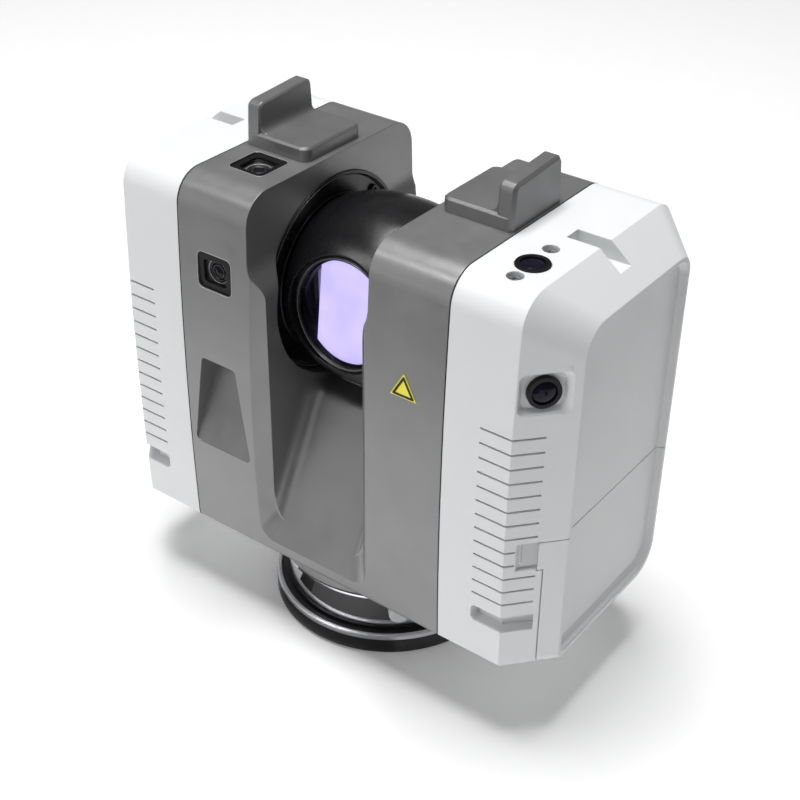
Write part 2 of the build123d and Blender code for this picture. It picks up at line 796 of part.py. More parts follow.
# ---- mirror rotor ----------------------------------------------------------------------------
window_r = 24.5
cavity_r = 30.0
cavity_half = 27.0
mirror_t = 4.0
window_plane = Plane(
    origin=(
        0,
        -window_off * cos(radians(window_tilt)),
        axis_z + window_off * sin(radians(window_tilt)),
    ),
    x_dir=(1, 0, 0),
    z_dir=(0, -cos(radians(window_tilt)), sin(radians(window_tilt))),
)
mirror_plane = Plane(origin=(0, 0, axis_z), x_dir=(0, 0, 1), z_dir=(1, -1, 0))

with BuildPart() as rotor_shell:
    with BuildSketch(Plane.XZ):
        with BuildLine():
            Spline(
                (-rotor_half + 0.8, axis_z + 36.3),
                (-22.5, axis_z + 40.4),
                (0, axis_z + rotor_belly),
                (22.5, axis_z + 40.4),
                (rotor_half - 0.8, axis_z + 36.3),
            )
            Polyline(
                (rotor_half - 0.8, axis_z + 36.3),
                (rotor_half, axis_z + 35.5),
                (rotor_half, axis_z + shaft_r),
                (cavity_half, axis_z + shaft_r),
                (cavity_half, axis_z + cavity_r),
                (-cavity_half, axis_z + cavity_r),
                (-cavity_half, axis_z + shaft_r),
                (-rotor_half, axis_z + shaft_r),
                (-rotor_half, axis_z + 35.5),
                (-rotor_half + 0.8, axis_z + 36.3),
            )
        make_face()
    revolve(axis=Axis((0, 0, axis_z), (1, 0, 0)))
    add(tube_on(window_plane, 0, 26.6, 14), mode=Mode.SUBTRACT)
    add(tube_on(window_plane, 0, window_r + 0.1, -2.0), mode=Mode.SUBTRACT)
    add(tube_on(window_plane, 0, 23.4, -10.0), mode=Mode.SUBTRACT)
rotor_shell.part.label = "rotor_shell"
export_step(rotor_shell.part, "parts/rotor_shell.step")

with BuildPart() as window_ring:
    add(tube_on(window_plane, 24.1, 25.7, 1.0))
    chamfer(window_ring.faces().sort_by(Axis.Y)[0].edges(), length=0.35)
window_ring.part.label = "window_ring"
export_step(window_ring.part, "parts/window_ring.step")

with BuildPart() as window_glass:
    add(tube_on(window_plane, 0, window_r, -2.0))
window_glass.part.label = "window_glass"
export_step(window_glass.part, "parts/window_glass.step")

with BuildPart() as mirror_plate:
    add(tube_x(0, cavity_r - 0.6, -22.8, 22.8))
    with BuildSketch(mirror_plane):
        Rectangle(90, 90)
    extrude(amount=-mirror_t, mode=Mode.INTERSECT)
mirror_plate.part.label = "mirror_plate"
export_step(mirror_plate.part, "parts/mirror_plate.step")

with BuildPart() as mirror_mount:
    add(tube_x(0, cavity_r, -cavity_half, cavity_half))
    with BuildSketch(mirror_plane.offset(-mirror_t)):
        Rectangle(120, 120)
    extrude(amount=-60, mode=Mode.INTERSECT)
    with BuildSketch(mirror_plane.offset(-mirror_t - 4.0)):
        Rectangle(36, 26)
    extrude(amount=-60, mode=Mode.SUBTRACT)
    add(tube_on(window_plane, 0, 25.2, -10.0), mode=Mode.SUBTRACT)
mirror_mount.part.label = "mirror_mount"
export_step(mirror_mount.part, "parts/mirror_mount.step")

with BuildPart() as rotor_shafts:
    add(tube_x(0, shaft_r, -68.0, -cavity_half))
    add(tube_x(6.0, shaft_r, cavity_half, 48.0))
rotor_shafts.part.label = "rotor_shafts"
export_step(rotor_shafts.part, "parts/rotor_shafts.step")

# ---- side covers -------------------------------------------------------------------------------
slot_count = 13
slot_top = deck + 119.0
slot_pitch = 6.93
slot_h = 0.9
slot_in = 88.2
slot_out = 112.1
notch_low, notch_high = deck + 20.2, deck + 28.7
recess_low, recess_high = deck + 53.5, deck + 67.4
groove_front, groove_back, groove_floor = -3.1, 5.4, deck + 171.0
cover_screw_spots = ((88.4, -15.5), (89.3, -42.0))
top_camera_x, top_camera_y = 89.5, -30.1
slant_camera_z = deck + 139.0
slant_camera_x = 111.2
pivot_z = door_hinge_z
seam_gap = 0.4


def grip_notch(depth, grow=0.0):
    """Shallow hand-hold in the front of a side cover."""
    with BuildPart() as cut:
        add(
            block(
                88.0 - grow, 112.5 + grow, -half_depth - 2, -38.0, notch_low - grow, notch_high + grow
            )
        )
        fillet(cut.edges().filter_by(Axis.Y).group_by(Axis.X)[0], radius=2.5)
        add(cover_form(1, depth + grow), mode=Mode.SUBTRACT)
    return cut.part


def slant_well(size_z, size_u, depth, grow=0.0):
    """Sloped recess round a tracking camera on the slanted front edge."""
    plane = slant_plane(1, slant_camera_x, slant_camera_z)
    with BuildPart() as well:
        with BuildSketch(plane.offset(-depth - grow)):
            RectangleRounded(size_z - 5.0 + 2 * grow, size_u - 5.6 + 2 * grow, 2.5)
        with BuildSketch(plane.offset(0.6)):
            RectangleRounded(size_z + 0.6 + 2 * grow, size_u + 0.6 + 2 * grow, 3.0)
        loft(ruled=True)
    return well.part


def panel_pocket():
    """Inset of the side panel, with sloped walls inside a thin rim."""
    with BuildPart() as pocket:
        with BuildSketch(Plane.YZ.offset(rim_x + 0.4)):
            add(rim_sketch(rim_front + 1.4, rim_back - 1.6, rim_top - 1.6, deck + 1.6, 1.0))
        with BuildSketch(Plane.YZ.offset(rim_x - panel_drop)):
            add(rim_sketch(rim_front + 4.2, rim_back - 3.2, rim_top - 3.6, deck + 7.0, 2.6))
        loft(ruled=True)
    return pocket.part


with BuildPart() as cover_shell:
    add(cover_form(1))
    add(cover_form(1, wall), mode=Mode.SUBTRACT)
    with BuildPart(mode=Mode.PRIVATE) as bosses:
        add(grip_notch(5.5, 2.2))
        add(block(86.0, 125.0, groove_front - 2.2, groove_back + 2.2, groove_floor - 2.2, head_top + 2))
        add(slant_well(19.6, 23.0, 3.4, 2.0))
        for x, y in cover_screw_spots:
            add(tube_on(Plane(origin=(x, y, head_top - 9.0)), 0, 5.4, 9.0))
        add(cover_form(1, 0.2), mode=Mode.INTERSECT)
    add(bosses.part)
    add(panel_pocket(), mode=Mode.SUBTRACT)
    add(grip_notch(5.5), mode=Mode.SUBTRACT)
    add(block(88.0, 125.0, groove_front, groove_back, groove_floor, head_top + 2), mode=Mode.SUBTRACT)
    add(slant_well(19.6, 23.0, 3.4), mode=Mode.SUBTRACT)


def cover_top_wells():
    """Screw recesses and the camera well in the top of the right cover."""
    with BuildPart() as wells:
        for x, y in cover_screw_spots:
            spot = Plane(origin=(x, y, head_top))
            add(tube_on(spot.offset(-3.0), 0, 3.5, 4))
            add(tube_on(spot.offset(-3.0), 0, 1.5, -5))
        add(tube_on(Plane(origin=(top_camera_x, top_camera_y, head_top - 1.6)), 0, 7.3, 3))
    return wells.part


latch_slots = (8, 9)        # these slots stop short beside the latch recess


def cooling_slots(short):
    """The row of cooling slots that runs round the front corner."""
    with BuildPart() as cuts:
        for index in range(slot_count):
            z = slot_top - index * slot_pitch
            reach = 106.0 if index in short else slot_out
            add(block(slot_in, reach, -half_depth - 2, -44.0, z - slot_h / 2, z + slot_h / 2))
    return cuts.part


with BuildPart() as right_cover:
    add(cover_shell.part)
    add(cover_top_wells(), mode=Mode.SUBTRACT)
    add(cooling_slots(latch_slots), mode=Mode.SUBTRACT)
    add(door_zone(seam_gap), mode=Mode.SUBTRACT)
    with BuildPart(mode=Mode.PRIVATE) as latch_cut:
        add(block(106.3, 113.4, -half_depth, -42.0, recess_low, recess_high))
        add(cover_form(1, 1.8), mode=Mode.SUBTRACT)
    add(latch_cut.part, mode=Mode.SUBTRACT)
right_cover.part.label = "right_cover"
export_step(right_cover.part, "parts/right_cover.step")

with BuildPart() as battery_door:
    add(cover_shell.part)
    add(tube_on(Plane(origin=(door_hinge_x, 36, pivot_z), z_dir=(0, -1, 0)), 0, door_round, 72))
    add(door_zone(), mode=Mode.INTERSECT)
    add(
        tube_on(Plane(origin=(door_hinge_x, 36, pivot_z), z_dir=(0, -1, 0)), 0, 1.2, 72),
        mode=Mode.SUBTRACT,
    )
battery_door.part.label = "battery_door"
export_step(battery_door.part, "parts/battery_door.step")

with BuildPart() as door_hinge_pin:
    add(tube_on(Plane(origin=(door_hinge_x, 36, pivot_z), z_dir=(0, -1, 0)), 0, 1.2, 72))
door_hinge_pin.part.label = "door_hinge_pin"
export_step(door_hinge_pin.part, "parts/door_hinge_pin.step")

latch_middle = slant_plane(1, 110.5, (recess_low + recess_high) / 2)

with BuildPart() as door_latch:
    with BuildSketch(latch_middle.offset(-1.7)):
        with Locations((0.9, 0)):
            RectangleRounded(11.4, 7.0, 1.2)
    extrude(amount=1.1)
door_latch.part.label = "door_latch"
export_step(door_latch.part, "parts/door_latch.step")

# display, button and sockets sit in the left panel, on the side of the operator
display_y, display_z = 4.0, deck + 112.0
display_w, display_h = 58.0, 38.0
panel_x = rim_x - panel_drop
button_y, button_height = -24.0, deck + 76.0
port_y, port_z, port_w, port_h = 14.0, deck + 34.0, 30.0, 20.0

with BuildPart() as left_cover:
    add(mirrored(cover_shell.part, -1))
    add(mirrored(cooling_slots(()), -1), mode=Mode.SUBTRACT)
    with BuildSketch(Plane.YZ.offset(-panel_x - 1)):
        with Locations((display_y, display_z)):
            RectangleRounded(display_w, display_h, 3.0)
        with Locations((button_y, button_height)):
            Circle(6.3)
        with Locations((port_y, port_z)):
            RectangleRounded(port_w - 6, port_h - 6, 2.0)
    extrude(amount=8, mode=Mode.SUBTRACT)
left_cover.part.label = "left_cover"
export_step(left_cover.part, "parts/left_cover.step")

with BuildPart() as cover_screws:
    for x, y in cover_screw_spots:
        add(screw(Plane(origin=(x, y, head_top - 3.0)), head_r=2.7, head_t=1.8, length=4.6))
cover_screws.part.label = "cover_screws"
export_step(cover_screws.part, "parts/cover_screws.step")

# ---- tracking cameras: top and front of the right cover, front of the left, rear of a pillar -----
slant_camera = slant_plane(1, slant_camera_x, slant_camera_z).offset(-3.4)
tracking_planes = (
    Plane(origin=(top_camera_x, top_camera_y, head_top - 1.6)),
    slant_camera,
    slant_plane(-1, slant_camera_x, slant_camera_z).offset(-3.4),
    rear_camera_plane,
)

with BuildPart() as tracking_housings:
    for plane in tracking_planes:
        add(tube_on(plane, 5.2, 7.0, 2.2))
tracking_housings.part.label = "tracking_housings"
export_step(tracking_housings.part, "parts/tracking_housings.step")

with BuildPart() as tracking_lenses:
    for plane in tracking_planes:
        add(lens_dome(plane.offset(1.4), 5.2, 1.2, 1.4))
tracking_lenses.part.label = "tracking_lenses"
export_step(tracking_lenses.part, "parts/tracking_lenses.step")

# ---- inside the covers -----------------------------------------------------------------------
plate_in, plate_out = cover_x, cover_x + 2.0
bay_mouth = 111.4           # open end of the battery bay
bay_low, bay_high, bay_half = deck + wall, deck + 63.0, 36.0

with BuildPart() as inner_plates:
    for side in (-1, 1):
        add(head_slab(side * plate_in, side * plate_out, 2.8))
    for y in (-22.0, 42.0):
        for z in (82.0, 160.0):
            add(tube_x(0, 2.6, plate_out, 76.0, y, deck + z))
inner_plates.part.label = "inner_plates"
export_step(inner_plates.part, "parts/inner_plates.step")

with BuildPart() as battery_bay:
    add(block(plate_out, bay_mouth + 2, -bay_half, bay_half, bay_low, bay_high))
    with BuildPart(mode=Mode.PRIVATE) as bay_flange:
        add(block(bay_mouth, bay_mouth + 2, -half_depth, half_depth, deck, door_top + 6.0))
        add(cover_form(1, wall + 0.2), mode=Mode.INTERSECT)
        add(grip_notch(5.5, 2.6), mode=Mode.SUBTRACT)
    add(bay_flange.part)
    add(
        block(plate_out + 1.5, 130, -bay_half + 1.5, bay_half - 1.5, bay_low + 1.5, bay_high - 1.5),
        mode=Mode.SUBTRACT,
    )
battery_bay.part.label = "battery_bay"
export_step(battery_bay.part, "parts/battery_bay.step")

with BuildPart() as batteries:
    for y_from, y_to in ((-34.0, -0.6), (0.6, 34.0)):
        add(block(plate_out + 1.5, bay_mouth - 1.0, y_from, y_to, bay_low + 1.5, bay_high - 2.2))
    fillet(batteries.edges().filter_by(Axis.X), radius=2.5)
batteries.part.label = "batteries"
export_step(batteries.part, "parts/batteries.step")

with BuildPart() as main_board:
    add(block(76.0, 77.6, -26.0, 46.0, deck + 78.0, deck + 164.0))
    for y, z, run in ((0, 100, 26), (26, 92, 18), (20, 132, 34), (-8, 146, 16)):
        add(block(77.6, 80.6, y - run / 2, y + run / 2, deck + z - 8, deck + z + 8))
main_board.part.label = "main_board"
export_step(main_board.part, "parts/main_board.step")

fan_x, fan_z = 93.4, deck + 98.0
fan_front = -44.0

with BuildPart() as fan_housing:
    add(block(plate_out, fan_x + 18, fan_front, fan_front + 10, fan_z - 18, fan_z + 18))
    with BuildSketch(Plane.XZ.offset(-fan_front)):
        with Locations((fan_x, fan_z)):
            Circle(16.6)
    extrude(amount=-10, mode=Mode.SUBTRACT)
    add(block(fan_x - 17, fan_x + 17, fan_front + 8.4, fan_front + 10, fan_z - 1.2, fan_z + 1.2))
    add(block(fan_x - 1.2, fan_x + 1.2, fan_front + 8.4, fan_front + 10, fan_z - 17, fan_z + 17))
fan_housing.part.label = "fan_housing"
export_step(fan_housing.part, "parts/fan_housing.step")

with BuildPart() as fan_rotor:
    with BuildSketch(Plane.XZ.offset(-fan_front)):
        with Locations((fan_x, fan_z)):
            Circle(6.0)
    extrude(amount=-7.4)
    with Locations((fan_x, fan_front + 4.0, fan_z)):
        with Locations(Rotation(90, 0, 0)):
            with PolarLocations(10.4, 7):
                Box(9.6, 1.2, 6.4, rotation=(32, 0, 0))
fan_rotor.part.label = "fan_rotor"
export_step(fan_rotor.part, "parts/fan_rotor.step")

with BuildPart() as heat_sink:
    add(block(-104.0, -plate_out, -43.0, -40.0, deck + 80.0, deck + 122.0))
    for step in range(10):
        x = -77.0 - 2.9 * step
        add(block(x - 1.1, x, -52.0, -43.0, deck + 80.0, deck + 122.0))
heat_sink.part.label = "heat_sink"
export_step(heat_sink.part, "parts/heat_sink.step")

with BuildPart() as antenna:
    add(block(-100.0, -plate_out, 14.0, 34.0, deck + 166.0, deck + 167.6))
    add(block(-96.0, -80.0, 17.0, 31.0, deck + 167.6, deck + 172.0))
antenna.part.label = "antenna"
export_step(antenna.part, "parts/antenna.step")

# ---- operator side: display, power button, port cover ------------------------------------------
with BuildPart() as display_bezel:
    with BuildSketch(Plane.YZ.offset(-panel_x)):
        with Locations((display_y, display_z)):
            RectangleRounded(display_w + 5, display_h + 5, 4.5)
            Rectangle(display_w - 8, display_h - 8, mode=Mode.SUBTRACT)
    extrude(amount=-1.4)
    with BuildSketch(Plane.YZ.offset(-panel_x)):
        with Locations((display_y, display_z)):
            RectangleRounded(display_w - 0.6, display_h - 0.6, 2.8)
    extrude(amount=4.5)
    with BuildSketch(Plane.YZ.offset(-panel_x)):
        with Locations((display_y, display_z)):
            Rectangle(display_w - 8, display_h - 8)
    extrude(amount=1.0, mode=Mode.SUBTRACT)
display_bezel.part.label = "display_bezel"
export_step(display_bezel.part, "parts/display_bezel.step")

with BuildPart() as display_glass:
    with BuildSketch(Plane.YZ.offset(-panel_x + 1.0)):
        with Locations((display_y, display_z)):
            Rectangle(display_w - 8, display_h - 8)
    extrude(amount=-2.0)
display_glass.part.label = "display_glass"
export_step(display_glass.part, "parts/display_glass.step")

with BuildPart() as power_button:
    with BuildSketch(Plane.YZ.offset(-panel_x - 1.6)):
        with Locations((button_y, button_height)):
            Circle(5.9)
    extrude(amount=5.4)
    fillet(power_button.faces().sort_by(Axis.X)[0].edges(), radius=0.8)
power_button.part.label = "power_button"
export_step(power_button.part, "parts/power_button.step")

hinge_line = port_z - port_h / 2 - 1.0
hinge_depth = -panel_x - 1.2

with BuildPart() as port_cover:
    with BuildSketch(Plane.XZ.offset(-(port_y - port_w / 2))):
        with Locations((hinge_depth, hinge_line)):
            Circle(0.9)
        with Locations((hinge_depth, hinge_line + port_h / 2 + 1.0)):
            Rectangle(1.8, port_h + 2.0)
    extrude(amount=-port_w)
    for y in (port_y - port_w / 2, port_y + port_w / 2):
        with Locations((hinge_depth, y, hinge_line)):
            Cylinder(0.5, 4.0, rotation=(90, 0, 0), mode=Mode.SUBTRACT)
port_cover.part.label = "port_cover"
export_step(port_cover.part, "parts/port_cover.step")

with BuildPart() as port_hinge:
    for turn in (-1, 1):
        near = port_y + turn * (port_w / 2 + 0.4)
        far = near + turn * 2.2
        add(block(-panel_x - 2.3, -panel_x, near, far, hinge_line - 1.4, hinge_line + 1.4))
        with Locations((hinge_depth, near - turn * 0.6, hinge_line)):
            Cylinder(0.44, 1.8, rotation=(90, 0, 0))
port_hinge.part.label = "port_hinge"
export_step(port_hinge.part, "parts/port_hinge.step")

with BuildPart() as port_sockets:
    add(block(-panel_x + wall, -108.0, port_y - 12, port_y + 12, port_z - 7, port_z + 7))
    add(block(-114.6, -112.0, port_y - 9, port_y - 1, port_z - 3, port_z + 3), mode=Mode.SUBTRACT)
    add(block(-115.6, -110.0, port_y - 9, port_y - 1, port_z - 3, port_z + 3), mode=Mode.SUBTRACT)
    add(block(-115.6, -110.0, port_y + 2, port_y + 9, port_z - 1.6, port_z + 1.6), mode=Mode.SUBTRACT)
port_sockets.part.label = "port_sockets"
export_step(port_sockets.part, "parts/port_sockets.step")
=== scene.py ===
import math

import bpy
from mathutils import Matrix, Vector


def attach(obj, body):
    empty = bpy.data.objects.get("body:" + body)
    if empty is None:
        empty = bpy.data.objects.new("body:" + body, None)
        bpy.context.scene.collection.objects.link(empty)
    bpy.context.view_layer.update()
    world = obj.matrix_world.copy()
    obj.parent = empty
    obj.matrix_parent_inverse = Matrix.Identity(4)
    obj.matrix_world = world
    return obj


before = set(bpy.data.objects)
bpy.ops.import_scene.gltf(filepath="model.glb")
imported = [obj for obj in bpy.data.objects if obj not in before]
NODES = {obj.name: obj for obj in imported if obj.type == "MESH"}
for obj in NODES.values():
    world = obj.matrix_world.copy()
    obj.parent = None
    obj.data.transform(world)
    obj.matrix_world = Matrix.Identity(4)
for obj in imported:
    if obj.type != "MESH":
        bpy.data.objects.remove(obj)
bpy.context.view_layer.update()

MM = 0.001
DECK = 43.0                  # underside of the turning head, in millimetres
AXIS_Z = DECK + 122.4        # turning axis of the mirror rotor
HEAD_MIDDLE = DECK + 89.5    # half way up the head
SCENE = bpy.context.scene


# ---- materials ------------------------------------------------------------------------------
class Graph:
    """A small helper around one material's node tree."""

    def __init__(self, name):
        self.mat = bpy.data.materials.new(name)
        self.mat.use_nodes = True
        self.tree = self.mat.node_tree
        self.tree.nodes.clear()
        self.out = self.add("ShaderNodeOutputMaterial")
        self.coords = self.add("ShaderNodeTexCoord")

    def add(self, kind, **settings):
        node = self.tree.nodes.new(kind)
        for key, value in settings.items():
            setattr(node, key, value)
        return node

    def link(self, source, target):
        self.tree.links.new(source, target)

    def noise(self, scale, detail=3.0, rough=0.55, stretch=None):
        node = self.add("ShaderNodeTexNoise")
        node.inputs["Scale"].default_value = scale
        node.inputs["Detail"].default_value = detail
        node.inputs["Roughness"].default_value = rough
        if stretch is None:
            self.link(self.coords.outputs["Object"], node.inputs["Vector"])
        else:
            spread = self.add("ShaderNodeMapping")
            spread.inputs["Scale"].default_value = stretch
            self.link(self.coords.outputs["Object"], spread.inputs["Vector"])
            self.link(spread.outputs["Vector"], node.inputs["Vector"])
        return node.outputs["Fac"]

    def remap(self, value, low, high, to_low, to_high):
        node = self.add("ShaderNodeMapRange")
        node.clamp = True
        self.link(value, node.inputs["Value"])
        for key, number in (
            ("From Min", low), ("From Max", high), ("To Min", to_low), ("To Max", to_high)
        ):
            node.inputs[key].default_value = number
        return node.outputs["Result"]

    def math(self, operation, a, b):
        node = self.add("ShaderNodeMath", operation=operation)
        for slot, value in enumerate((a, b)):
            if isinstance(value, (int, float)):
                node.inputs[slot].default_value = value
            else:
                self.link(value, node.inputs[slot])
        return node.outputs[0]

    def mix(self, factor, a, b):
        node = self.add("ShaderNodeMix", data_type="RGBA")
        for key, value in ((0, factor), (6, a), (7, b)):
            if isinstance(value, (int, float)):
                node.inputs[key].default_value = value
            elif isinstance(value, tuple):
                node.inputs[key].default_value = (*value, 1.0)
            else:
                self.link(value, node.inputs[key])
        return node.outputs[2]

    def edges(self, radius, low=0.02, high=0.35):
        """Where the surface turns within a short distance: one on edges, zero on flats."""
        bevel = self.add("ShaderNodeBevel", samples=6)
        bevel.inputs["Radius"].default_value = radius
        true = self.add("ShaderNodeNewGeometry")
        dot = self.add("ShaderNodeVectorMath", operation="DOT_PRODUCT")
        self.link(bevel.outputs["Normal"], dot.inputs[0])
        self.link(true.outputs["Normal"], dot.inputs[1])
        return self.remap(dot.outputs["Value"], 1.0 - high, 1.0 - low, 1.0, 0.0)


def finish(
    name,
    base,
    rough,
    metallic=0.0,
    tone=0.06,
    blotch=14.0,
    grain=900.0,
    bump=0.05,
    rough_spread=0.07,
    wear_and_highlight=0.25,
    wear_and_highlight_to=None,
    round_edge=0.0004,
    coat=0.0,
    brush=None,
    specular=0.5,
):
    """A surface with uneven tone and gloss, a fine grain, softened edges and slight edge wear; set
    strong and light, the edge wear becomes a painted highlight along the edges.
    """
    g = Graph(name)
    bsdf = g.add("ShaderNodeBsdfPrincipled")
    g.link(bsdf.outputs[0], g.out.inputs["Surface"])
    bsdf.inputs["Metallic"].default_value = metallic
    bsdf.inputs["Specular IOR Level"].default_value = specular
    if coat:
        bsdf.inputs["Coat Weight"].default_value = coat
        bsdf.inputs["Coat Roughness"].default_value = 0.12
    clouds = g.noise(blotch, 4.0, 0.6)
    fine = g.noise(grain, 2.0, 0.5, brush)
    dark = tuple(c * (1.0 - tone) for c in base)
    light = tuple(min(1.0, c * (1.0 + tone)) for c in base)
    colour = g.mix(g.remap(clouds, 0.3, 0.7, 0.0, 1.0), dark, light)
    # Lighter edges: real edge wear, and a painted highlight where a finish sets it strong and
    # light.
    worn_and_highlit = wear_and_highlight_to or tuple(min(1.0, c * 1.5 + 0.03) for c in base)
    patches = g.remap(g.noise(120.0, 4.0), 0.42, 0.62, 0.0, wear_and_highlight)
    rubbed_and_highlit = g.math("MULTIPLY", g.edges(0.0007), patches)
    colour = g.mix(rubbed_and_highlit, colour, worn_and_highlit)
    g.link(colour, bsdf.inputs["Base Color"])
    gloss = g.remap(g.noise(60.0, 5.0, 0.65), 0.3, 0.7, rough - rough_spread, rough + rough_spread)
    g.link(gloss, bsdf.inputs["Roughness"])
    soft = g.add("ShaderNodeBevel", samples=6)
    soft.inputs["Radius"].default_value = round_edge
    relief = g.add("ShaderNodeBump")
    relief.inputs["Strength"].default_value = bump
    relief.inputs["Distance"].default_value = 0.0003
    g.link(fine, relief.inputs["Height"])
    g.link(soft.outputs["Normal"], relief.inputs["Normal"])
    g.link(relief.outputs["Normal"], bsdf.inputs["Normal"])
    return g.mat


def coated_pane(name, tint, clear):
    """Thin coated glass: mostly clear, with a faint, slightly uneven tinted sheen."""
    g = Graph(name)
    through = g.add("ShaderNodeBsdfTransparent")
    through.inputs["Color"].default_value = (*clear, 1.0)
    sheen = g.add("ShaderNodeBsdfGlossy")
    sheen.inputs["Roughness"].default_value = 0.05
    uneven = g.remap(g.noise(30.0), 0.3, 0.7, 0.0, 1.0)
    g.link(g.mix(uneven, tint, tuple(c * 0.92 for c in tint)), sheen.inputs["Color"])
    share = g.remap(g.noise(45.0), 0.3, 0.7, 0.03, 0.05)
    both = g.add("ShaderNodeMixShader")
    g.link(share, both.inputs[0])
    g.link(through.outputs[0], both.inputs[1])
    g.link(sheen.outputs[0], both.inputs[2])
    g.link(both.outputs[0], g.out.inputs["Surface"])
    return g.mat


def mirror_face(name, glow):
    """Lavender coated mirror with faint cloudy patches and a painted glow: it gives off light
    though it is no lamp.
    """
    g = Graph(name)
    bsdf = g.add("ShaderNodeBsdfPrincipled")
    clouds = g.remap(g.noise(42.0, 2.0, 0.45), 0.38, 0.66, 0.0, 1.0)
    colour = g.mix(clouds, (0.44, 0.41, 0.70), (0.66, 0.63, 0.84))
    g.link(colour, bsdf.inputs["Base Color"])
    bsdf.inputs["Emission Color"].default_value = (0.57, 0.54, 0.92, 1.0)
    bsdf.inputs["Emission Strength"].default_value = glow
    bsdf.inputs["Specular IOR Level"].default_value = 0.1
    g.link(g.remap(g.noise(25.0), 0.3, 0.7, 0.22, 0.34), bsdf.inputs["Roughness"])
    g.link(bsdf.outputs[0], g.out.inputs["Surface"])
    return g.mat


def lens_glass(name):
    """Dark coated lens with a faintly uneven depth."""
    g = Graph(name)
    bsdf = g.add("ShaderNodeBsdfPrincipled")
    depth = g.remap(g.noise(160.0, 2.0), 0.3, 0.7, 0.0, 1.0)
    g.link(g.mix(depth, (0.004, 0.004, 0.008), (0.012, 0.010, 0.022)), bsdf.inputs["Base Color"])
    g.link(g.remap(g.noise(90.0), 0.3, 0.7, 0.10, 0.18), bsdf.inputs["Roughness"])
    bsdf.inputs["Coat Weight"].default_value = 0.04
    bsdf.inputs["Coat Roughness"].default_value = 0.03
    bsdf.inputs["Specular IOR Level"].default_value = 0.15
    bsdf.inputs["Specular Tint"].default_value = (0.85, 0.84, 0.95, 1.0)
    g.link(bsdf.outputs[0], g.out.inputs["Surface"])
    return g.mat


GREY = finish(
    "grey_paint", (0.26, 0.26, 0.262), 0.36, metallic=0.55, tone=0.03, bump=0.08, wear_and_highlight=0.12,
    round_edge=0.0006,
)
# The fin blocks' strong, light edge wear is a painted highlight along their bevels.
GREY_CAP = finish(
    "grey_cap_paint", (0.21, 0.21, 0.212), 0.38, metallic=0.5, tone=0.03, bump=0.08, wear_and_highlight=0.45,
    wear_and_highlight_to=(0.46, 0.46, 0.46), round_edge=0.0006,
)
WHITE = finish(
    "white_shell", (0.77, 0.78, 0.79), 0.42, tone=0.012, bump=0.04, wear_and_highlight=0.05,
    wear_and_highlight_to=(0.9, 0.9, 0.9), round_edge=0.0005,
)
DOOR = finish(
    "white_door", (0.76, 0.77, 0.78), 0.42, tone=0.012, bump=0.04, wear_and_highlight=0.05,
    wear_and_highlight_to=(0.9, 0.9, 0.9), round_edge=0.0005,
)
BLACK = finish(
    "black_anodised", (0.008, 0.008, 0.009), 0.30, tone=0.15, bump=0.05, wear_and_highlight=0.12,
    wear_and_highlight_to=(0.08, 0.08, 0.085), round_edge=0.0006,
)
ROTOR = finish(
    "rotor_black", (0.006, 0.006, 0.007), 0.26, tone=0.12, bump=0.03, wear_and_highlight=0.10,
    wear_and_highlight_to=(0.06, 0.06, 0.06), round_edge=0.0006,
)
HOUSING = finish(
    "housing_black", (0.004, 0.004, 0.0045), 0.36, tone=0.15, bump=0.04, wear_and_highlight=0.05,
    wear_and_highlight_to=(0.03, 0.03, 0.03), specular=0.25,
)
BARREL = finish("lens_tube_grey", (0.10, 0.10, 0.105), 0.34, metallic=0.4, tone=0.08, bump=0.05)
BLACK_PLASTIC = finish(
    "black_plastic", (0.012, 0.012, 0.013), 0.42, tone=0.15, bump=0.08, wear_and_highlight=0.10
)
PLATE = finish(
    "plate_black", (0.012, 0.012, 0.013), 0.40, tone=0.12, bump=0.10, wear_and_highlight=0.05,
    wear_and_highlight_to=(0.05, 0.05, 0.05),
)
SEAL = finish("seal_rubber", (0.006, 0.006, 0.0065), 0.75, tone=0.1, bump=0.15, wear_and_highlight=0.0)
DRUM = finish(
    "polished_drum", (0.80, 0.80, 0.82), 0.07, metallic=1.0, tone=0.03, rough_spread=0.02,
    bump=0.01, wear_and_highlight=0.0, grain=300.0, brush=(1, 1, 14), round_edge=0.0001,
)
RING = finish(
    "bright_ring", (0.75, 0.75, 0.77), 0.34, metallic=0.8, tone=0.03, bump=0.0, wear_and_highlight=0.0,
    rough_spread=0.02, round_edge=0.0001,
)
STEEL = finish(
    "ground_steel", (0.52, 0.52, 0.53), 0.32, metallic=1.0, tone=0.05, bump=0.04,
    brush=(20, 1, 1),
)
ALUMINIUM = finish(
    "machined_aluminium", (0.60, 0.61, 0.62), 0.36, metallic=0.9, tone=0.04, bump=0.05
)
SCREW = finish("screw_steel", (0.45, 0.45, 0.46), 0.30, metallic=0.9, tone=0.05, bump=0.05)
DARK_SCREW = finish("dark_screw", (0.03, 0.03, 0.032), 0.35, metallic=0.7, tone=0.1, bump=0.05)
COPPER = finish(
    "copper_winding", (0.60, 0.28, 0.12), 0.38, metallic=0.8, tone=0.1, bump=0.3, grain=500.0,
    brush=(1, 1, 8),
)
MAGNET = finish("magnet_nickel", (0.30, 0.30, 0.32), 0.35, metallic=0.9, tone=0.05)
BUTTON = finish("button_grey", (0.55, 0.56, 0.57), 0.45, tone=0.03, bump=0.05, wear_and_highlight=0.1)
BOARD = finish(
    "circuit_board", (0.02, 0.14, 0.06), 0.40, tone=0.2, blotch=60.0, bump=0.2, coat=0.4
)
BATTERY = finish("battery_case", (0.06, 0.06, 0.065), 0.5, tone=0.08, bump=0.15)
DISPLAY = finish(
    "display_face", (0.008, 0.012, 0.02), 0.10, tone=0.2, bump=0.0, coat=0.8, wear_and_highlight=0.02
)
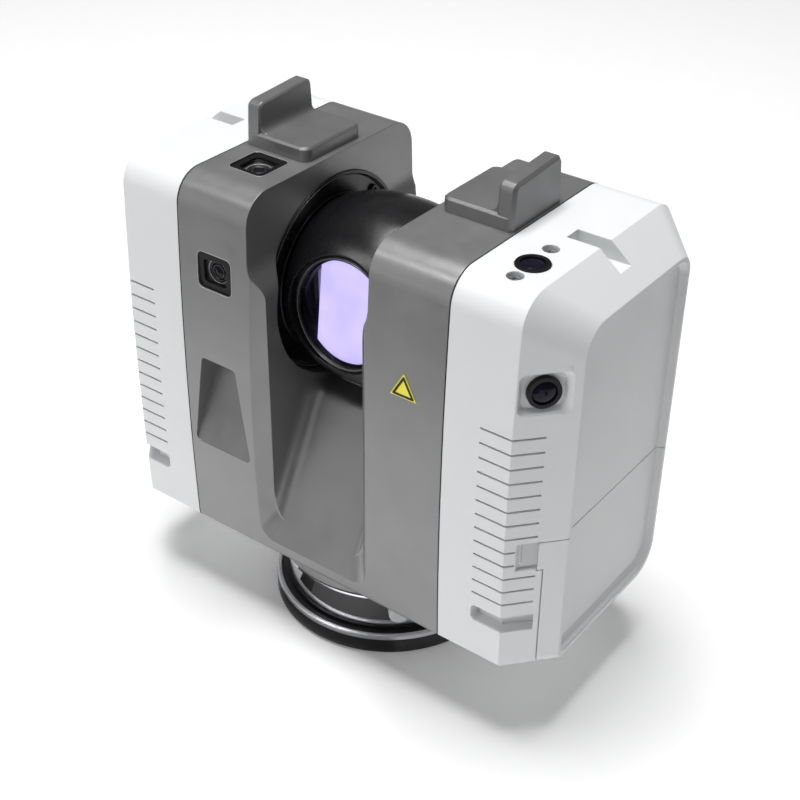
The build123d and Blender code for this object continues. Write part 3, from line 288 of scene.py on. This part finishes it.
YELLOW = finish("warning_yellow", (0.95, 0.86, 0.05), 0.42, tone=0.03, bump=0.05, wear_and_highlight=0.05)
SIGN_BLACK = finish("sign_black", (0.008, 0.008, 0.008), 0.5, tone=0.1, bump=0.02, wear_and_highlight=0.0)
# Light grey for painted highlights on edges and rings.
BRIGHT_PAINTED_HIGHLIGHT = finish("bright_painted_highlight", (0.50, 0.50, 0.50), 0.35, metallic=0.5, tone=0.05, wear_and_highlight=0.0)
# Dim grey for painted highlights along bevels, beads and rings.
DIM_PAINTED_HIGHLIGHT = finish("dim_painted_highlight", (0.16, 0.16, 0.165), 0.35, metallic=0.6, tone=0.05, wear_and_highlight=0.0)
PANE = coated_pane("coated_window", (0.80, 0.74, 1.0), (0.95, 0.93, 1.0))
# The mirror plate gives off a faint painted glow.
MIRROR = mirror_face("mirror_lavender", 0.12)
# A painted reflection with a painted glow, for the self-lit lavender sheet behind the window.
PAINTED_REFLECTION = mirror_face("painted_reflection_lavender", 0.88)
LENS = lens_glass("lens_dark")

DRESS = {
    GREY: ("yoke", "swivel_skirt"),
    GREY_CAP: ("fin_blocks",),
    WHITE: ("left_cover", "right_cover"),
    DOOR: ("battery_door",),
    BLACK: ("bearing_flanges", "window_ring", "mirror_mount"),
    ROTOR: ("rotor_shell",),
    HOUSING: ("camera_windows", "tracking_housings"),
    BARREL: ("camera_barrels",),
    BLACK_PLASTIC: (
        "encoder_reader", "battery_bay", "fan_housing", "fan_rotor", "display_bezel",
        "port_hinge", "port_sockets",
    ),
    PLATE: ("base_plate",),
    SEAL: ("gaskets", "port_cover"),
    DRUM: ("base_drum",),
    RING: ("rim_ring",),
    STEEL: (
        "thread_insert", "azimuth_bearing_outer", "azimuth_bearing_balls", "azimuth_bearing_inner",
        "azimuth_spindle", "elevation_outer_races", "elevation_inner_races", "elevation_balls",
        "rotor_shafts", "door_hinge_pin",
    ),
    ALUMINIUM: ("motor_housing", "laser_module", "inner_plates", "heat_sink"),
    SCREW: ("cover_screws", "skirt_screws"),
    DARK_SCREW: ("flange_screws",),
    COPPER: ("azimuth_motor_stator", "motor_stator"),
    MAGNET: ("azimuth_magnet_ring", "motor_magnets"),
    BUTTON: ("release_button", "power_button", "door_latch"),
    BOARD: ("main_board", "antenna"),
    BATTERY: ("batteries",),
    DISPLAY: ("display_glass", "encoder_disc"),
    YELLOW: ("warning_plate",),
    PANE: ("window_glass",),
    MIRROR: ("mirror_plate",),
    LENS: ("camera_lenses", "tracking_lenses", "collimator_lens"),
}
for finish_made, wearers in DRESS.items():
    for node in wearers:
        slots = NODES[node].data.materials
        slots.clear()
        slots.append(finish_made)


# ---- finer pieces that ride on the CAD bodies ---------------------------------------------------
def new_mesh(name, vertices, faces, material, body, smooth=False):
    """A mesh from points in millimetres, riding on a body of the CAD model."""
    mesh = bpy.data.meshes.new(name)
    mesh.from_pydata([Vector(v) * MM for v in vertices], [], faces)
    mesh.materials.append(material)
    for face in mesh.polygons:
        face.use_smooth = smooth
    piece = bpy.data.objects.new(name, mesh)
    SCENE.collection.objects.link(piece)
    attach(piece, body)
    return piece


def bead(name, centre, normal, radius, section, material, body):
    """A thin round bead along a circle."""
    out = Vector(normal).normalized()
    side = Vector((0, 0, 1)).cross(out)
    side = side.normalized() if side.length > 0.1 else Vector((1, 0, 0))
    other = out.cross(side)
    turns, corners = 96, 8
    vertices, faces = [], []
    for i in range(turns):
        angle = 2 * math.pi * i / turns
        ray = math.cos(angle) * side + math.sin(angle) * other
        for k in range(corners):
            turn = 2 * math.pi * k / corners
            reach = radius + section * math.cos(turn)
            vertices.append(Vector(centre) + ray * reach + out * section * math.sin(turn))
    for i in range(turns):
        j = (i + 1) % turns
        for k in range(corners):
            n = (k + 1) % corners
            faces.append((
                i * corners + k, j * corners + k, j * corners + n, i * corners + n
            ))
    return new_mesh(name, vertices, faces, material, body, smooth=True)


def rounded_outline(width, height, radius, steps=6):
    """Points of a rounded rectangle round its middle."""
    points = []
    for cx, cy, begin in ((1, 1, 0), (-1, 1, 90), (-1, -1, 180), (1, -1, 270)):
        for i in range(steps + 1):
            angle = math.radians(begin + 90.0 * i / steps)
            points.append((
                cx * (width / 2 - radius) + radius * math.cos(angle),
                cy * (height / 2 - radius) + radius * math.sin(angle),
            ))
    return points


def rounded_triangle(reach, corner, steps=6):
    """Points of an upright triangle with softened tips; reach is from its middle to a tip."""
    points = []
    for index in range(3):
        heading = math.radians(90 + 120 * index)
        middle = reach - 2 * corner
        for i in range(steps + 1):
            angle = heading + math.radians(-60 + 120 * i / steps)
            points.append((
                middle * math.cos(heading) + corner * math.cos(angle),
                middle * math.sin(heading) + corner * math.sin(angle),
            ))
    return points


def frame_strip(name, place, outer, inner, low, high, material, body):
    """A low frame between two outlines; place turns (u, v, lift) into a point."""
    count = len(outer)
    vertices = []
    for outline, level in ((outer, low), (outer, high), (inner, high), (inner, low)):
        vertices += [place(u, v, level) for u, v in outline]
    faces = []
    for ring in range(4):
        after = (ring + 1) % 4
        for i in range(count):
            j = (i + 1) % count
            faces.append((
                ring * count + i, ring * count + j, after * count + j, after * count + i
            ))
    return new_mesh(name, vertices, faces, material, body)


def front_of(node, x, z):
    """The y of a node's front surface at a place, in millimetres."""
    piece = NODES[node]
    back = piece.matrix_world.inverted()
    far_in_front = -200.0
    start = back @ (Vector((x, far_in_front, z)) * MM)
    hit, where, _, _ = piece.ray_cast(start, back.to_3x3() @ Vector((0, 1, 0)))
    if not hit:
        raise ValueError(f"{node} has no front at x {x}, z {z}")
    return (piece.matrix_world @ where).y / MM


SIGN_X, SIGN_Z = 51.0, DECK + 121.6
SIGN_STEP = 2.5              # how far down the plate its lean is measured
SIGN_FRONT = front_of("warning_plate", SIGN_X, SIGN_Z)
SIGN_LEAN = (front_of("warning_plate", SIGN_X, SIGN_Z - SIGN_STEP) - SIGN_FRONT) / SIGN_STEP


def on_sign(u, v, lift):
    """A point on the warning plate, which leans with the crowned front of the pillar."""
    return (SIGN_X + u, SIGN_FRONT - v * SIGN_LEAN - lift, SIGN_Z + v)


frame_strip(
    "warning_border", on_sign, rounded_triangle(6.6, 0.5), rounded_triangle(4.5, 0.15),
    -0.1, 0.14, SIGN_BLACK, "head",
)

CAMERA_FRONT = Vector((-50.6, -58.6, 182.4))
CAMERA_TOP = Vector((-51.2, -26.9, 222.0))
BESIDE_WINDOW = 11.5         # clear of the front window, where the pillar's own surface is met
RIM_LOW, RIM_HIGH = -0.3, 0.03


def on_camera_front(u, v, lift):
    """A point round the front camera window, on the crowned front of the pillar."""
    y = front_of("yoke", CAMERA_FRONT.x - BESIDE_WINDOW, CAMERA_FRONT.z + v)
    return (CAMERA_FRONT.x + u, y - lift, CAMERA_FRONT.z + v)


def on_camera_top(u, v, lift):
    """A point round the top camera window."""
    return (CAMERA_TOP.x + u, CAMERA_TOP.y + v, CAMERA_TOP.z + lift)


def camera_rim(label, place, width, height):
    """A painted highlight: a light grey strip round a camera window that stands in for the lit
    bevel of its pocket.
    """
    rim = 0.6
    frame_strip(
        f"camera_rim_{label}", place, rounded_outline(width, height, 3.1),
        rounded_outline(width - rim, height - rim, 2.8), RIM_LOW, RIM_HIGH, BRIGHT_PAINTED_HIGHLIGHT, "head",
    )


def lens_rings(label, middle, axis):
    """The rings that show inside a camera's lens, each with its radius and its depth."""
    # The rings are real parts of the lens; their light and dim grey is a painted highlight on
    # their edges.
    rings = ((5.4, 2.7, BRIGHT_PAINTED_HIGHLIGHT), (4.3, 3.1, DIM_PAINTED_HIGHLIGHT), (3.0, 2.9, DIM_PAINTED_HIGHLIGHT))
    for number, (reach, sunk, material) in enumerate(rings):
        bead(
            f"lens_ring_{label}_{number}", middle - axis * sunk, axis, reach, 0.16, material,
            "head",
        )


camera_rim("front", on_camera_front, 19.7, 17.9)
camera_rim("top", on_camera_top, 19.7, 19.7)
lens_rings("front", CAMERA_FRONT, Vector((0, -1, 0)))
lens_rings("top", CAMERA_TOP, Vector((0, 0, 1)))


def seam_line():
    """The dark seals between pillars and covers, carried out to the surface."""
    source = NODES["gaskets"]
    mesh = source.data.copy()
    mesh.transform(source.matrix_world)
    middle = HEAD_MIDDLE * MM
    grow_y, grow_z = 1.0055, 1.0037
    for vertex in mesh.vertices:
        vertex.co.y *= grow_y
        vertex.co.z = middle + (vertex.co.z - middle) * grow_z
    seam = bpy.data.objects.new("seam_line", mesh)
    SCENE.collection.objects.link(seam)
    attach(seam, "head")


seam_line()

TILT = math.radians(6.5)     # the window looks slightly upwards at rest
WINDOW_OUT = Vector((0, -math.cos(TILT), math.sin(TILT)))
WINDOW = Vector((0, 0, AXIS_Z)) + WINDOW_OUT * 34.0
WINDOW_UP = Vector((0, math.sin(TILT), math.cos(TILT)))


def painted_mirror_reflection():
    """A painted reflection: a self-lit lavender sheet behind the window that stands in for the
    mirror as it fills the window, cut off at the mirror's left edge.
    """
    reach, cut, behind, steps = 23.3, -15.3, 2.5, 64
    sweep = math.acos(cut / reach)
    points = []
    for i in range(steps + 1):
        angle = -sweep + 2 * sweep * i / steps
        points.append(
            WINDOW - WINDOW_OUT * behind
            + Vector((1, 0, 0)) * reach * math.cos(angle)
            + WINDOW_UP * reach * math.sin(angle)
        )
    field = new_mesh(
        "painted_mirror_reflection", points, [tuple(range(len(points)))], PAINTED_REFLECTION, "mirror_rotor",
    )
    field.visible_diffuse = False
    field.visible_glossy = False


painted_mirror_reflection()
# The window bead is a dim painted highlight along the window ring's bevel.
bead(
    "window_bead", WINDOW + WINDOW_OUT * 1.0, WINDOW_OUT, 24.9, 0.22, DIM_PAINTED_HIGHLIGHT,
    "mirror_rotor",
)
bead(
    "barrel_seam", (17.5, 0, AXIS_Z), (1, 0, 0), 41.75, 0.16, SIGN_BLACK, "mirror_rotor",
)
# The flange beads are dim painted highlights along the flanges' outer bevel and inner collar.
for side in (-1, 1):
    for label, x, reach, section in (("outer", 31.4, 45.6, 0.14), ("inner", 33.0, 36.6, 0.12)):
        bead(
            f"flange_bead_{label}_{side + 1}", (side * x, 0, AXIS_Z), (1, 0, 0), reach, section,
            DIM_PAINTED_HIGHLIGHT, "head",
        )


PAD_X, PAD_REACH, PAD_BEND = 1.0, 43.55, 44.0
PAD_ANGLE = math.radians(-130.0)
PAD_LOW = -0.6               # how far both strips of the pad reach into the barrel


def on_barrel(u, v, lift):
    """A point on the underside of the barrel, below the window; u along it, v round it."""
    angle = PAD_ANGLE + v / PAD_BEND
    reach = PAD_REACH + lift
    return (PAD_X + u, reach * math.cos(angle), AXIS_Z + reach * math.sin(angle))


# The pad and its slot are real; the grey of their raised edges is a painted highlight.
frame_strip(
    "barrel_pad_edge", on_barrel, rounded_outline(12.4, 5.2, 1.4),
    rounded_outline(11.6, 4.4, 1.1), PAD_LOW, 0.25, DIM_PAINTED_HIGHLIGHT, "mirror_rotor",
)
frame_strip(
    "barrel_pad_slot", on_barrel, rounded_outline(9.0, 1.9, 0.9),
    rounded_outline(8.3, 1.2, 0.6), PAD_LOW, 0.35, DIM_PAINTED_HIGHLIGHT, "mirror_rotor",
)


# ---- stage, light and camera --------------------------------------------------------------------
def add_glow(material, strength):
    """Let a surface of the studio give off some white light of its own."""
    shader = next(n for n in material.node_tree.nodes if n.type == "BSDF_PRINCIPLED")
    shader.inputs["Emission Color"].default_value = (1, 1, 1, 1)
    shader.inputs["Emission Strength"].default_value = strength


floor_finish = finish(
    "pale_floor", (0.93, 0.93, 0.93), 0.55, tone=0.004, bump=0.0, wear_and_highlight=0.0, specular=0.2
)
add_glow(floor_finish, 0.11)
bpy.ops.mesh.primitive_plane_add(size=14.0, location=(0, 0, 0))
floor = bpy.context.object
floor.name = "floor"
floor.data.materials.append(floor_finish)


def area_light(name, place, target, size, power):
    """A square soft light, in metres and watts."""
    data = bpy.data.lights.new(name, "AREA")
    data.energy = power
    data.shape = "SQUARE"
    data.size = size
    lamp = bpy.data.objects.new(name, data)
    SCENE.collection.objects.link(lamp)
    lamp.location = place
    aim = Vector(target) - Vector(place)
    lamp.rotation_euler = aim.to_track_quat("-Z", "Y").to_euler()


area_light("overhead", (-0.14, 0.0, 2.2), (0.0, 0.0, 0.1), 1.0, 50.0)
area_light("front_left", (-0.35, -1.6, 0.55), (0, 0, 0.15), 0.7, 6.0)


def hidden_card(name, corners, tone, glow=0.0, diffuse=False):
    """A card that only reflections see, as a studio flag; diffuse lets it shade as well."""
    mesh = bpy.data.meshes.new(name)
    mesh.from_pydata([Vector(c) for c in corners], [], [tuple(range(len(corners)))])
    card = bpy.data.objects.new(name, mesh)
    SCENE.collection.objects.link(card)
    face = finish(name + "_face", (tone, tone, tone), 0.9, bump=0.0, wear_and_highlight=0.0)
    add_glow(face, glow)
    mesh.materials.append(face)
    card.visible_camera = False
    card.visible_diffuse = diffuse
    card.visible_shadow = False
    card.visible_transmission = False


hidden_card(
    "front_flag",
    ((-1.6, -0.30, 0.0), (0.35, -0.30, 0.0), (0.35, -0.55, 0.9), (-1.6, -0.55, 0.9)),
    0.02,
)
hidden_card(
    "front_glow",
    ((-0.60, -0.58, 0.74), (0.02, -0.58, 0.74), (0.02, -0.44, 0.96), (-0.60, -0.44, 0.96)),
    0.5, glow=6.0,
)
hidden_card(
    "ramp_glow",
    ((-0.40, -0.29, 0.08), (0.04, -0.29, 0.08), (0.04, -0.29, 0.36), (-0.40, -0.29, 0.36)),
    0.02, glow=0.45,
)
hidden_card(
    "right_shade",
    ((0.62, -0.70, 0.0), (0.62, 0.80, 0.0), (0.62, 0.80, 0.60), (0.62, -0.70, 0.60)),
    0.05, diffuse=True,
)


def floor_sector(name, start, end, tone):
    """A dark patch beside the base that only the polished drum reflects."""
    near, far, height, steps = 0.058, 0.086, 0.0008, 12
    points = []
    for reach, order in ((near, range(steps + 1)), (far, range(steps, -1, -1))):
        for i in order:
            angle = math.radians(start + (end - start) * i / steps)
            points.append((reach * math.cos(angle), reach * math.sin(angle), height))
    hidden_card(name, points, tone)


floor_sector("drum_dark_left", -131.0, -116.0, 0.002)
floor_sector("drum_dark_right", -116.0, -50.0, 0.05)


def backdrop():
    """A pale wall far round the stage that only the camera sees."""
    reach, bottom, top, turns = 3.2, -0.01, 4.0, 96
    points = []
    for level in (bottom, top):
        for i in range(turns):
            angle = 2 * math.pi * i / turns
            points.append((reach * math.cos(angle), reach * math.sin(angle), level))
    faces = [(i, (i + 1) % turns, turns + (i + 1) % turns, turns + i) for i in range(turns)]
    mesh = bpy.data.meshes.new("backdrop")
    mesh.from_pydata(points, [], faces)
    face = finish("backdrop_face", (0.9, 0.9, 0.9), 0.9, bump=0.0, wear_and_highlight=0.0)
    add_glow(face, 0.55)
    mesh.materials.append(face)
    wall = bpy.data.objects.new("backdrop", mesh)
    SCENE.collection.objects.link(wall)
    wall.visible_diffuse = False
    wall.visible_glossy = False
    wall.visible_shadow = False
    wall.visible_transmission = False


backdrop()

world = bpy.data.worlds.new("studio")
world.use_nodes = True
SCENE.world = world
world.node_tree.nodes["Background"].inputs["Color"].default_value = (1, 1, 1, 1)
world.node_tree.nodes["Background"].inputs["Strength"].default_value = 0.15

# The camera is fitted to edges of the object: its place in millimetres, its turns in radians.
eye = Vector((338.49, -450.21, 483.23)) * MM
yaw, pitch, roll = -0.61618, 0.58662, 0.02407
level = Vector((math.sin(yaw), math.cos(yaw), 0.0))
ahead = level * math.cos(pitch) - Vector((0.0, 0.0, math.sin(pitch)))
right = Vector((math.cos(yaw), -math.sin(yaw), 0.0))
up = right.cross(ahead)
across = math.cos(roll) * right + math.sin(roll) * up
upward = -math.sin(roll) * right + math.cos(roll) * up
camera_data = bpy.data.cameras.new("photo_camera")
camera_data.lens = 65.42
camera_data.sensor_width = 36.0
camera_data.shift_x = -0.0314
camera_data.shift_y = -0.0018
camera_data.clip_start = 0.01
camera = bpy.data.objects.new("photo_camera", camera_data)
SCENE.collection.objects.link(camera)
camera.matrix_world = Matrix.Translation(eye) @ Matrix((
    (across.x, upward.x, -ahead.x, 0.0),
    (across.y, upward.y, -ahead.y, 0.0),
    (across.z, upward.z, -ahead.z, 0.0),
    (0.0, 0.0, 0.0, 1.0),
))
SCENE.camera = camera
SCENE.view_settings.view_transform = "Standard"
